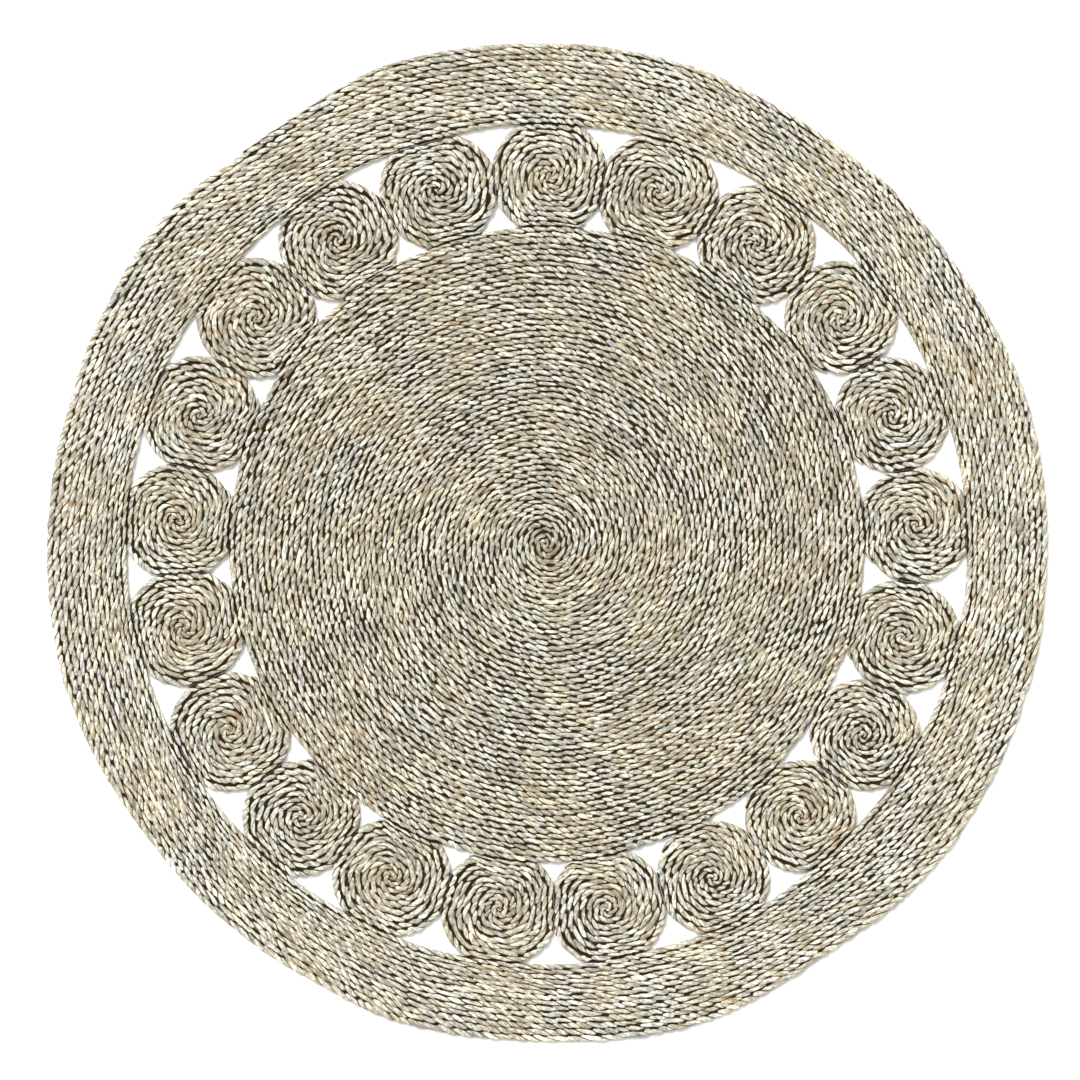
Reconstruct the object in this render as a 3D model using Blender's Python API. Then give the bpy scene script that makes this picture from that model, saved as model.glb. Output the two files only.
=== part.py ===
"""Round rug wound from twisted plant-fibre cord: a centre disc, a ring of 21 small coils, and a border band.

Metres, +Z up. The rug lies flat on z = 0, and the middle of its outline is at the origin. Angles are measured
clockwise from +Y, as seen from above. Each piece is one cord wound on edge in a flat spiral, so its top is
ribbed, one rib to a turn. The ribs run outwards counter-clockwise.
"""

import math

import bmesh
import bpy
from mathutils import Vector

# Driving dimensions of the whole rug
RUG_RADIUS = 0.600
THICKNESS = 0.008
GAP = 0.0003

# The centre disc, the border band, and the ring on which the coils' middles lie
DISC_RADIUS = 0.3815
DISC_TURNS = 55
BORDER_INNER_RADIUS = 0.5040
BORDER_TURNS = 14
COIL_TURNS = 9

# The cord as it shows in each piece's top and side
GROOVE_HEIGHT = 0.0056
EDGE_HEIGHT = 0.0040
FOOT_INSET = 0.0010

# The part of a turn in which the cord climbs to the next turn, along an outline
CLIMB = 0.15

# How the hand-wound border swells from a true circle
RIM_SWELLS = (
    {"lobes": 2, "height": 0.0033, "peak_deg": 126},
    {"lobes": 3, "height": 0.0013, "peak_deg": 352},
    {"lobes": 4, "height": 0.0020, "peak_deg": 88},
    {"lobes": 6, "height": 0.0011, "peak_deg": 6},
    {"lobes": 7, "height": 0.0009, "peak_deg": 0},
    {"lobes": 8, "height": 0.0015, "peak_deg": 30},
    {"lobes": 10, "height": 0.0013, "peak_deg": 18},
    {"lobes": 12, "height": 0.0012, "peak_deg": 13},
)

# Where each coil lies, and its radius where nothing presses on it
COILS = (
    {"angle_deg": 0.5, "ring_radius": 0.4420, "radius": 0.0715},
    {"angle_deg": 17.5, "ring_radius": 0.4425, "radius": 0.0730},
    {"angle_deg": 35.0, "ring_radius": 0.4395, "radius": 0.0730},
    {"angle_deg": 52.5, "ring_radius": 0.4450, "radius": 0.0685},
    {"angle_deg": 69.5, "ring_radius": 0.4430, "radius": 0.0700},
    {"angle_deg": 87.0, "ring_radius": 0.4430, "radius": 0.0700},
    {"angle_deg": 104.5, "ring_radius": 0.4410, "radius": 0.0690},
    {"angle_deg": 121.0, "ring_radius": 0.4450, "radius": 0.0670},
    {"angle_deg": 137.0, "ring_radius": 0.4460, "radius": 0.0680},
    {"angle_deg": 153.5, "ring_radius": 0.4470, "radius": 0.0690},
    {"angle_deg": 170.5, "ring_radius": 0.4420, "radius": 0.0715},
    {"angle_deg": 187.5, "ring_radius": 0.4400, "radius": 0.0720},
    {"angle_deg": 205.0, "ring_radius": 0.4410, "radius": 0.0720},
    {"angle_deg": 222.0, "ring_radius": 0.4410, "radius": 0.0710},
    {"angle_deg": 239.5, "ring_radius": 0.4420, "radius": 0.0725},
    {"angle_deg": 257.0, "ring_radius": 0.4455, "radius": 0.0720},
    {"angle_deg": 273.5, "ring_radius": 0.4430, "radius": 0.0710},
    {"angle_deg": 290.5, "ring_radius": 0.4440, "radius": 0.0710},
    {"angle_deg": 308.0, "ring_radius": 0.4425, "radius": 0.0730},
    {"angle_deg": 325.5, "ring_radius": 0.4420, "radius": 0.0730},
    {"angle_deg": 343.0, "ring_radius": 0.4445, "radius": 0.0715},
)

# Straight steps in a turn, by the first turn that has them: short turns need fewer
DISC_STEPS = ((0, 8), (8, 16), (22, 24), (42, 32), (53, 42))
COIL_STEPS = ((0, 6), (2, 8), (4, 10), (5, 12))
BORDER_STEPS = ((0, 42),)

# Colours of the dried cord, linear
DISC_COLOUR = (0.47, 0.44, 0.36, 1.0)
COIL_COLOUR = (0.47, 0.44, 0.36, 1.0)
BORDER_COLOUR = (0.53, 0.50, 0.41, 1.0)
ROUGHNESS = 0.85

WELD = 0.00001
SHARP_ANGLE = math.radians(75)


def clear_scene():
    for item in list(bpy.data.objects):
        bpy.data.objects.remove(item, do_unlink=True)


def cord_material(name, colour):
    material = bpy.data.materials.new(name)
    material.use_nodes = True
    shader = material.node_tree.nodes["Principled BSDF"]
    shader.inputs["Base Color"].default_value = colour
    shader.inputs["Roughness"].default_value = ROUGHNESS
    shader.inputs["Metallic"].default_value = 0.0
    return material


def clockwise(angle, radius=1.0):
    """A point at an angle clockwise from +Y."""
    return Vector((radius * math.sin(angle), radius * math.cos(angle)))


def rim_radius(angle):
    """Distance from the rug's hub to its outline."""
    radius = RUG_RADIUS
    for row in RIM_SWELLS:
        radius += row["height"] * math.cos(row["lobes"] * (angle - math.radians(row["peak_deg"])))
    return radius


def smooth_step(value):
    value = min(1.0, max(0.0, value))
    return value * value * (3 - 2 * value)


def steps_in_turn(table, turn):
    return [steps for first_turn, steps in table if first_turn <= turn][-1]


def climb(fraction, along, has_hole):
    """How far a turn has climbed to the next one: evenly inside a piece, and quickly along its outlines."""
    nearness = abs(2 * fraction - 1) if has_hole else fraction
    quick = nearness**2
    return (1 - quick) * along + quick * smooth_step(along / CLIMB)


def groove_fraction(turn, along, turns, has_hole):
    """Where the groove under a turn lies, from 0 at the inner outline or middle to 1 at the outer outline."""
    if turn == 0:
        return 0.0
    if turn > turns:
        return 1.0
    return (turn - 1 + climb((turn - 0.5) / turns, along, has_hole)) / turns


def wound_lines(turns, step_table, has_hole):
    """The groove and rib of every turn, each a list of (way along the turn, fraction across the piece)."""
    grooves = []
    ribs = []
    for turn in range(turns + 2):
        steps = steps_in_turn(step_table, turn)
        ways = [step / steps for step in range(steps + 1)]
        under = [groove_fraction(turn, way, turns, has_hole) for way in ways]
        over = [groove_fraction(turn + 1, way, turns, has_hole) for way in ways]
        grooves.append(list(zip(ways, under)))
        ribs.append([(way, (low + high) / 2) for way, low, high in zip(ways, under, over)])
    return grooves, ribs[:-1]


def add_line(bm, line, full_height, piece):
    """Vertices of one groove or rib. Its height falls to the edge's where it runs into an outline."""
    vertices = []
    for way, fraction in line:
        angle = piece["start"] - way * math.tau
        inner = piece["inner"](angle)
        outer = piece["outer"](angle)
        middle = piece["roundness"](fraction, outer)
        radius = inner + (middle - inner) * fraction
        half_pitch = (outer - inner) / piece["turns"] / 2
        room = outer - radius
        if piece["has_hole"]:
            room = min(room, radius - inner)
        height = EDGE_HEIGHT + (full_height - EDGE_HEIGHT) * min(1.0, room / half_pitch)
        vertices.append(bm.verts.new((*clockwise(angle, radius), height)))
    return vertices


def stitch(bm, first, second):
    """Triangles and quads between two lines that cover the same stretch with different steps."""
    low = 0
    high = 0
    while low < len(first) - 1 or high < len(second) - 1:
        next_low = (low + 1) / (len(first) - 1)
        next_high = (high + 1) / (len(second) - 1)
        if math.isclose(next_low, next_high):
            bm.faces.new((first[low], first[low + 1], second[high + 1], second[high]))
            low += 1
            high += 1
        elif next_low < next_high:
            bm.faces.new((first[low], first[low + 1], second[high]))
            low += 1
        else:
            bm.faces.new((first[low], second[high + 1], second[high]))
            high += 1


def add_foot(bm, outline, inwards):
    """The side below an outline, down to the foot on the floor, which lies a little way in."""
    foot = []
    for vertex in outline:
        flat = vertex.co.xy
        place = flat - inwards * FOOT_INSET * flat.normalized()
        foot.append(bm.verts.new((*place, 0.0)))
    for index in range(len(outline)):
        after = (index + 1) % len(outline)
        bm.faces.new((outline[index], outline[after], foot[after], foot[index]))
    return foot


def bridge_feet(bm, inner_foot, outer_foot):
    """The flat underside of a band."""
    for index in range(len(inner_foot)):
        after = (index + 1) % len(inner_foot)
        bm.faces.new((inner_foot[index], inner_foot[after], outer_foot[after], outer_foot[index]))


def wound_mesh(name, piece):
    """A flat spiral of cord: ribbed top, rounded-in side and flat underside."""
    bm = bmesh.new()
    grooves, ribs = wound_lines(piece["turns"], piece["steps"], piece["has_hole"])
    groove_lines = [add_line(bm, line, GROOVE_HEIGHT, piece) for line in grooves]
    rib_lines = [add_line(bm, line, THICKNESS, piece) for line in ribs]
    for turn, rib in enumerate(rib_lines):
        stitch(bm, groove_lines[turn], rib)
        stitch(bm, rib, groove_lines[turn + 1])
    outer_foot = add_foot(bm, groove_lines[-1][:-1], 1)
    if piece["has_hole"]:
        inner_foot = add_foot(bm, groove_lines[0][:-1], -1)
        bridge_feet(bm, inner_foot, outer_foot)
    else:
        bm.faces.new(outer_foot)
    bmesh.ops.remove_doubles(bm, verts=bm.verts, dist=WELD)
    bmesh.ops.dissolve_degenerate(bm, edges=bm.edges, dist=WELD)
    bmesh.ops.recalc_face_normals(bm, faces=bm.faces)
    mesh = bpy.data.meshes.new(name)
    bm.to_mesh(mesh)
    bm.free()
    mesh.shade_smooth()
    mesh.set_sharp_from_angle(angle=SHARP_ANGLE)
    return mesh


def add_piece(name, mesh, material, hub, place=Vector((0, 0)), turned=0.0):
    mesh.materials.append(material)
    item = bpy.data.objects.new(name, mesh)
    bpy.context.collection.objects.link(item)
    item.parent = hub
    item.location = (*place, 0.0)
    item.rotation_euler = (0.0, 0.0, -turned)
    return item


def add_hub():
    """The middle of the winding, placed so that the outline's box is centred on the origin."""
    steps = steps_in_turn(BORDER_STEPS, BORDER_TURNS)
    rim = [clockwise(step / steps * math.tau, rim_radius(step / steps * math.tau)) for step in range(steps)]
    hub = bpy.data.objects.new("hub", None)
    bpy.context.collection.objects.link(hub)
    middle_x = (max(point.x for point in rim) + min(point.x for point in rim)) / 2
    middle_y = (max(point.y for point in rim) + min(point.y for point in rim)) / 2
    hub.location = (-middle_x, -middle_y, 0.0)
    return hub


def add_disc(hub):
    piece = {
        "turns": DISC_TURNS,
        "steps": DISC_STEPS,
        "has_hole": False,
        "start": 0.0,
        "inner": lambda angle: 0.0,
        "outer": lambda angle: DISC_RADIUS,
        "roundness": lambda fraction, outer: outer,
    }
    material = cord_material("disc_cord", DISC_COLOUR)
    return add_piece("centre_disc", wound_mesh("centre_disc", piece), material, hub)


def add_border(hub):
    piece = {
        "turns": BORDER_TURNS,
        "steps": BORDER_STEPS,
        "has_hole": True,
        "start": 0.0,
        "inner": lambda angle: BORDER_INNER_RADIUS,
        "outer": rim_radius,
        "roundness": lambda fraction, outer: outer,
    }
    material = cord_material("border_cord", BORDER_COLOUR)
    return add_piece("border", wound_mesh("border", piece), material, hub)


def coil_place(row):
    return clockwise(math.radians(row["angle_deg"]), row["ring_radius"])


def coil_reach(index, angle):
    """A coil's outline, by the angle from its outward side: a circle, flat where it presses on its neighbours."""
    row = COILS[index]
    facing = math.radians(row["angle_deg"]) + angle
    direction = clockwise(facing)
    limits = [row["radius"]]
    for other in (COILS[index - 1], COILS[(index + 1) % len(COILS)]):
        apart = coil_place(other) - coil_place(row)
        distance = apart.length
        share = (distance**2 + row["radius"] ** 2 - other["radius"] ** 2) / (2 * distance) - GAP / 2
        towards = direction.dot(apart) / distance
        if towards > 0:
            limits.append(share / towards)
    if math.cos(angle) < 0:
        limits.append((row["ring_radius"] - DISC_RADIUS - GAP) / -math.cos(angle))
    clear_radius = BORDER_INNER_RADIUS * math.cos(math.pi / steps_in_turn(BORDER_STEPS, 0)) - GAP
    across = row["ring_radius"] * math.sin(angle)
    limits.append(math.sqrt(clear_radius**2 - across**2) - row["ring_radius"] * math.cos(angle))
    return min(limits)


def add_coil(hub, index, material):
    """One small coil. Its middle turns are round, and its outer turns follow its flattened outline."""
    row = COILS[index]
    piece = {
        "turns": COIL_TURNS,
        "steps": COIL_STEPS,
        "has_hole": False,
        "start": math.pi,
        "inner": lambda angle: 0.0,
        "outer": lambda angle: coil_reach(index, angle),
        "roundness": lambda fraction, outer: outer * fraction + row["radius"] * (1 - fraction),
    }
    name = f"coil_{index + 1:02d}"
    turned = math.radians(row["angle_deg"])
    return add_piece(name, wound_mesh(name, piece), material, hub, coil_place(row), turned)


def main():
    clear_scene()
    hub = add_hub()
    add_disc(hub)
    add_border(hub)
    coil_cord = cord_material("coil_cord", COIL_COLOUR)
    for index in range(len(COILS)):
        add_coil(hub, index, coil_cord)


main()
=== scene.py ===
"""Visual model of a round rug wound from two-ply plant-fibre cord: centre disc, ring of coils, border.

Every visible piece is one closed form. Its top follows the two plies of the cord as they twist round each
other, turn beside turn, and its underside has a rib for each turn. The turns run as the solids' ribs do, and
wander a little from them. Angles are clockwise from +Y, and the cord runs outwards counter-clockwise.
A pip is the stretch of a ply that shows between two creases. The side value is 0 on the crown of the cord
and about 1 in the seam between two turns. The material paints shade into the seams by it, and into the
creases between pips.
"""

import math

import bpy
import numpy as np
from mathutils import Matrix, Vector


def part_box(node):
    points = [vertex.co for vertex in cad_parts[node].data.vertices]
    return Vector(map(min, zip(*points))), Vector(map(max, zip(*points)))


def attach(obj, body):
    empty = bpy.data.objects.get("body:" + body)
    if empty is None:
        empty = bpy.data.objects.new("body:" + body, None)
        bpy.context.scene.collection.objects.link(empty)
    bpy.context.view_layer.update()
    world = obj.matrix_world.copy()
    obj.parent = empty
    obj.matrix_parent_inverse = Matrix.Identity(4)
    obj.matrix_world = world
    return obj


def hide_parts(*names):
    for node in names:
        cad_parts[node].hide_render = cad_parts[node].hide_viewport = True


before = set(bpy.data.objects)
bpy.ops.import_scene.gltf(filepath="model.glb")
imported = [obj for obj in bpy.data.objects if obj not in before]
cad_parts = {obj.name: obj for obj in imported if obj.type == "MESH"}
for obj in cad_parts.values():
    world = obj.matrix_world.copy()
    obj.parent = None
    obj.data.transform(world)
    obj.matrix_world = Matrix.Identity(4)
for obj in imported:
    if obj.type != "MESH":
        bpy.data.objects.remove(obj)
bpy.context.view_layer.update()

# Driving dimensions of the rug, as in its solids
RUG_RADIUS = 0.600
DISC_RADIUS = 0.3815
DISC_TURNS = 55
BORDER_INNER_RADIUS = 0.5040
BORDER_TURNS = 14
COIL_TURNS = 9
CLIMB = 0.15

# The gap between the parts, which is narrower than in the solids
GAP = 0.0001

# Swells of the border's outline: lobes, height, and the angle of a peak
RIM_SWELLS = (
    (2, 0.0033, 126),
    (3, 0.0013, 352),
    (4, 0.0020, 88),
    (6, 0.0011, 6),
    (7, 0.0009, 0),
    (8, 0.0015, 30),
    (10, 0.0013, 18),
    (12, 0.0012, 13),
)

# The coils: angle, distance of the middle from the hub, and radius where nothing presses on it
COILS = (
    (0.5, 0.4420, 0.0715),
    (17.5, 0.4425, 0.0730),
    (35.0, 0.4395, 0.0730),
    (52.5, 0.4450, 0.0685),
    (69.5, 0.4430, 0.0700),
    (87.0, 0.4430, 0.0700),
    (104.5, 0.4410, 0.0690),
    (121.0, 0.4450, 0.0670),
    (137.0, 0.4460, 0.0680),
    (153.5, 0.4470, 0.0690),
    (170.5, 0.4420, 0.0715),
    (187.5, 0.4400, 0.0720),
    (205.0, 0.4410, 0.0720),
    (222.0, 0.4410, 0.0710),
    (239.5, 0.4420, 0.0725),
    (257.0, 0.4455, 0.0720),
    (273.5, 0.4430, 0.0710),
    (290.5, 0.4440, 0.0710),
    (308.0, 0.4425, 0.0730),
    (325.5, 0.4420, 0.0730),
    (343.0, 0.4445, 0.0715),
)

# The cord: a ply's radius, how far its middle is from the cord's, and the length of a full twist
PLY_RADIUS = 0.00262
PLY_OFFSET = 0.00130
DISC_TWIST = 0.0312
BORDER_TWIST = 0.0334
COIL_TWIST = 0.0318

# The height of the cord's middle line, half its usual width, and the air beside it in a groove
AXIS_HEIGHT = 0.0041
HALF_CORD = 0.0035
SEAM = 0.00006

# How thin and how thick the cord gets in a narrow and in a wide turn, and how far a pip's sides rise
SWELL_RANGE = (0.12, 1.15)
CONTACT_RISE = 0.0012

# How uneven the cord is: its twist, its pips' size and place, and its own height and line
TWIST_UNEVENNESS = 0.20
TWIST_SPACING = 0.060
SLIP = 0.66
SLIP_SPACING = 0.013
PLY_UNEVENNESS = 0.22
PLY_SHIFT = 0.00080
HEIGHT_UNEVENNESS = 0.00045
HEIGHT_SPACING = 0.022
WANDER = 0.00095
WANDER_SPACING = 0.023

# Spread of the knots of a random line, and the most that a pip differs, in standard deviations
KNOT_SPREAD = 0.6
PIP_LIMIT = 1.6

# In a part without a hole the cord starts with a tighter twist: how much tighter, and over what length
MIDDLE_TWIST = 1.00
MIDDLE_TWIST_LENGTH = 0.12

# Steps of the mesh: along a full twist, the fewest, across the cord, and where columns straighten at an end
COLUMNS_PER_TWIST = 12
MIN_COLUMNS = 8
ACROSS = 7
UNSHEARED_COLUMNS = 9

# The underside: a rib for each turn, in coarser steps, with more of them at a cord's start
RIB_STEP = 0.012
START_RIBS = 8
MIN_RIBS = 6
UNDER_GROOVE = 0.0014

# How far the foot of an outline stands back, and the share of that where it is pressed
FOOT_INSET = 0.0002
PRESSED_INSET = 0.1

# Half the angle of a contact with a coil, and the shares of it where clearing starts and how long it takes
DISC_CONTACT = 0.095
BORDER_CONTACT = 0.070
CLEARING_START = 0.8
CLEARING_LENGTH = 0.4

# A coil's outline is fully pressed where it is this much short of its round radius
PRESSED_DEPTH = 0.0015

# Hand-made unevenness of the whole rug, in plan: number of waves, their strength and their lengths
SWAY_WAVES = 12
SWAY = 0.00022
SWAY_LENGTHS = (0.07, 0.30)

# How far a wound part's middle is out of round, over how many turns, and how much more it wanders
MIDDLE_SQUASH = 0.26
MIDDLE_TURNS = 2.2
MIDDLE_WANDER = 1.1

# Which way a middle is out of round: the angle in the disc, and the step from coil to coil
DISC_SQUASHED_AT = 0.6
COIL_SQUASHED_STEP = 2.3

# Brown mottling of the first stretch of cord: its length, the share at full strength, and its strengths
MOTTLED_LENGTH = 0.42
MOTTLED_FULL = 0.3
DISC_MOTTLING = 0.70
COIL_MOTTLING = 0.45

# The pieces are cut at these turns, to keep each mesh small
DISC_CUT = 39.0
BORDER_CUT = 7.5

# Where a cord starts and ends, in turns: the first and last bit, too thin to see, is left out
HEAD = 0.35
BORDER_HEAD = 0.05
TAIL = 0.105

# Numbers of the first pips, so that no two parts draw the same tints
BORDER_FIRST_PIP = 5000
COIL_FIRST_PIP = 8500
PIPS_PER_COIL = 150

# Seed of all random draws, and the step of a winding's tables in turns
SEED = 7
TABLE_STEP = 1 / 360

# The bake map: share of a turn's width that its top fills, a wall's width, and its lower edge's share of it
BAKED_SHARE = 0.92
BAKED_WALL = 0.004
BAKED_WALL_FOOT = 0.1

# Radii in the bake map's square: a round piece's top and underside, a band's top, and the margin
BAKED_TOP = 0.43
BAKED_UNDER = 0.145
BAKED_BAND = 0.49
BAKED_MARGIN = 0.005

# A band whose hole is wider than this share has its underside inside the hole in the bake map
WIDE_HOLE = 0.4

# Steps round an outline, for its bake layout and for its plan area
LAYOUT_STEPS = 72
AREA_STEPS = 360

# The least radius and the least cosine that something is divided by
LEAST_RADIUS = 0.01
LEAST_COSINE = 1e-6

# Colours of the pips, linear, at places of a random value from 0 to 1
TINTS = (
    (0.00, (0.88, 0.85, 0.77)),
    (0.30, (0.88, 0.84, 0.74)),
    (0.50, (0.84, 0.85, 0.76)),
    (0.66, (0.88, 0.84, 0.67)),
    (0.82, (0.87, 0.82, 0.74)),
    (0.94, (0.81, 0.76, 0.67)),
    (1.00, (0.71, 0.64, 0.51)),
)

# How dark and light a pip, a stretch of cord, a fibre and a fleck get
PIP_SHADES = (0.74, 1.12)
SLOW_SHADES = (0.82, 1.12)
FIBRE_SHADES = (0.48, 1.18)
FLECK_SHADES = (0.55, 1.20)
DISC_BRIGHTNESS = 0.925
BORDER_BRIGHTNESS = 1.015
COIL_BRIGHTNESS = 0.955

# Fibres: how many cross a pip, how many follow each other in a metre, and their detail and roughness
FIBRES_PER_PIP = 4.4
FIBRES_PER_METRE = 50.0
FIBRE_DETAIL = 3.0
FIBRE_ROUGHNESS = 0.6

# Scales of the noises: slow changes along the cord, flecks, patches, stains and regions
SLOW_SCALE = 7.0
FLECK_SCALE = 240.0
PATCH_SCALE = 130.0
STAIN_SCALE = 120.0
REGION_SCALE = 11.0

# Noise values that stand for the least and the most: in general, of fibres, of regions and of mottling
NOISE_RANGE = (0.3, 0.7)
FIBRE_RANGE = (0.35, 0.65)
REGION_RANGE = (0.38, 0.62)
MOTTLED_RANGE = (0.38, 0.55)

# Added to a pip's number, so that its shade and its crease are drawn apart from its tint
SHADE_DRAW = 0.37
CREASE_DRAW = 0.61

# Warm and cool regions, and brown stains, of which the cool regions have fewer
WARM_COLOUR = (1.0, 0.975, 0.885)
COOL_COLOUR = (0.99, 1.0, 1.0)
STAIN_COLOUR = (0.34, 0.235, 0.14)
STAIN_RANGE = (0.54, 0.70)
STAIN_STRENGTH = 0.95
STAIN_REGIONS = (0.15, 1.0)
MOTTLED_COLOUR = (0.22, 0.15, 0.085)

# Painted shade in the seams and creases: brown at its edges and dark inside, between these values of
# darkness
SHADE_EDGE_COLOUR = (0.26, 0.21, 0.12)
PAINTED_SHADE_COLOUR = (0.025, 0.017, 0.004)
SHADE_EDGE_RANGE = (0.0, 0.6)
PAINTED_SHADE_RANGE = (0.3, 0.9)

# The side values between which a seam's painted shade builds up, how far they vary, and how much a pip's end
# adds, for painted shade at the pip's ends
SIDE_RANGE = (0.57, 0.99)
SIDE_SPREAD = 0.64
SIDE_BITE = 0.42
BITE_STRENGTHS = (0.65, 1.30)

# What the parts add to the side value, and so to the painted seam shade, and what a cool and a warm region
# add
DISC_SEAMS = 0.0
BORDER_SEAMS = -0.11
COIL_SEAMS = -0.11
REGION_SEAMS = (0.11, -0.09)

# Painted shade in the creases between pips: where it starts and is full, by the distance from a pip's middle
CREASE_RANGE = (0.33, 0.49)

# How dark a crease's painted shade is, at these two side values, and between its weakest and its strongest
CREASE_SIDES = (0.0, 0.7)
CREASE_DARKNESS = (0.66, 1.0)
CREASE_STRENGTHS = (0.35, 1.25)

# Side values, which set the painted seam shade: facing a hole, pressed on a neighbour, beside an outline,
# and what a middle adds
OUTLINE_SIDE = 0.25
PRESSED_SIDE = 1.65
EDGE_SEAM_SIDE = 1.28
MIDDLE_SEAM = 0.40

# Side values, for painted shade, of the underside's ribs and of the cap in the middle, and the cap's radius
# in the bake map
RIB_SIDE = 0.1
CAP_SIDE = 0.8
CAP_RADIUS = 0.0004

# A wall's lower edge is this many pips further round than its upper edge
WALL_PIPS = 0.3

# The matt surface: roughness, sheen, shine, and the bump of the fibres
ROUGHNESS = (0.62, 0.85)
SHEEN = 0.05
SHEEN_ROUGHNESS = 0.5
SPECULAR = 0.10
BUMP_STRENGTH = 0.6
BUMP_DISTANCE = 0.0006

# The floor: half its width, how far it lies below the rug, and its colour and roughness
FLOOR_HALF = 6.0
FLOOR_DROP = 0.0002
FLOOR_COLOUR = (0.92, 0.92, 0.915, 1.0)
FLOOR_ROUGHNESS = 0.9

# Light: a white surround, and one wide sun
WORLD_LIGHT = 0.76
KEY_LIGHT = 3.1
KEY_COLOUR = (1.0, 0.99, 0.97)
KEY_FROM_DEG = 330
KEY_ELEVATION_DEG = 52
KEY_SPREAD_DEG = 30

# The camera straight above, which sees this width at the rug's top
CAMERA_HEIGHT = 4.0
VIEW_WIDTH = 1.2947
CAMERA_PLACE = (-0.0084, 0.0030)
RUG_HEIGHT = 0.008
SENSOR_WIDTH = 36.0
CLIP_END = 50.0


# Plan of the winding

def smooth_step(value):
    value = np.clip(value, 0.0, 1.0)
    return value * value * (3 - 2 * value)


def rim_radius(angle):
    radius = RUG_RADIUS + 0 * angle
    for lobes, height, peak_deg in RIM_SWELLS:
        radius = radius + height * np.cos(lobes * (angle - math.radians(peak_deg)))
    return radius


def coil_place(row):
    angle = math.radians(row[0])
    return np.array([row[1] * math.sin(angle), row[1] * math.cos(angle)])


def coil_reach(index, angle):
    """A coil's outline by the angle from its outward side: a circle, flat where it meets a neighbour."""
    angle_deg, ring, radius = COILS[index]
    facing = math.radians(angle_deg) + angle
    direction = np.stack([np.sin(facing), np.cos(facing)], -1)
    reach = np.full(np.shape(angle), radius)
    for other in (COILS[index - 1], COILS[(index + 1) % len(COILS)]):
        apart = coil_place(other) - coil_place(COILS[index])
        distance = math.hypot(*apart)
        share = (distance**2 + radius**2 - other[2] ** 2) / (2 * distance) - GAP / 2
        towards = direction @ apart / distance
        flat = share / np.maximum(towards, LEAST_COSINE)
        reach = np.where(towards > 0, np.minimum(reach, flat), reach)
    across = ring * np.sin(angle)
    along = ring * np.cos(angle)
    disc = DISC_RADIUS + GAP
    hits = (along < 0) & (np.abs(across) < disc)
    to_disc = -along - np.sqrt(np.maximum(disc**2 - across**2, 0.0))
    reach = np.where(hits, np.minimum(reach, to_disc), reach)
    border = BORDER_INNER_RADIUS - GAP
    return np.minimum(reach, np.sqrt(border**2 - across**2) - along)


def clear_of_coils(angle, contact):
    """0 where an outline touches a coil, and 1 where it faces a hole, by half the angle of a contact."""
    nearest = np.full(np.shape(angle), math.pi)
    for row in COILS:
        apart = (angle - math.radians(row[0]) + math.pi) % math.tau - math.pi
        nearest = np.minimum(nearest, np.abs(apart))
    return smooth_step((nearest / contact - CLEARING_START) / CLEARING_LENGTH)


def coil_clear(index, angle):
    """0 where a coil's outline is pressed flat, and 1 where it faces a hole."""
    return smooth_step(1 - (COILS[index][2] - coil_reach(index, angle)) / PRESSED_DEPTH)


def climb(fraction, along, has_hole):
    """How far a turn has climbed to the next one: evenly inside a piece, and quickly along its outlines."""
    nearness = np.abs(2 * fraction - 1) if has_hole else fraction
    quick = nearness**2
    return (1 - quick) * along + quick * smooth_step(along / CLIMB)


def groove_fraction(place, turns, has_hole):
    """The groove spiral's way across the piece, from 0 to 1, by its place counted in turns."""
    turn = np.floor(place)
    fraction = (turn - 1 + climb((turn - 0.5) / turns, place - turn, has_hole)) / turns
    fraction = np.where(turn < 1, 0.0, fraction)
    return np.where(turn > turns, 1.0, fraction)


def wavering(length, spacing, rng):
    """A smooth random line along a length, from -1 to 1, as a function."""
    count = int(length / spacing) + 4
    knots = np.clip(rng.normal(0, KNOT_SPREAD, count), -1, 1)

    def value(at):
        place = np.clip(np.asarray(at) / spacing, 0, count - 2)
        low = np.floor(place).astype(int)
        way = smooth_step(place - low)
        return knots[low] * (1 - way) + knots[low + 1] * way

    return value


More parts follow.
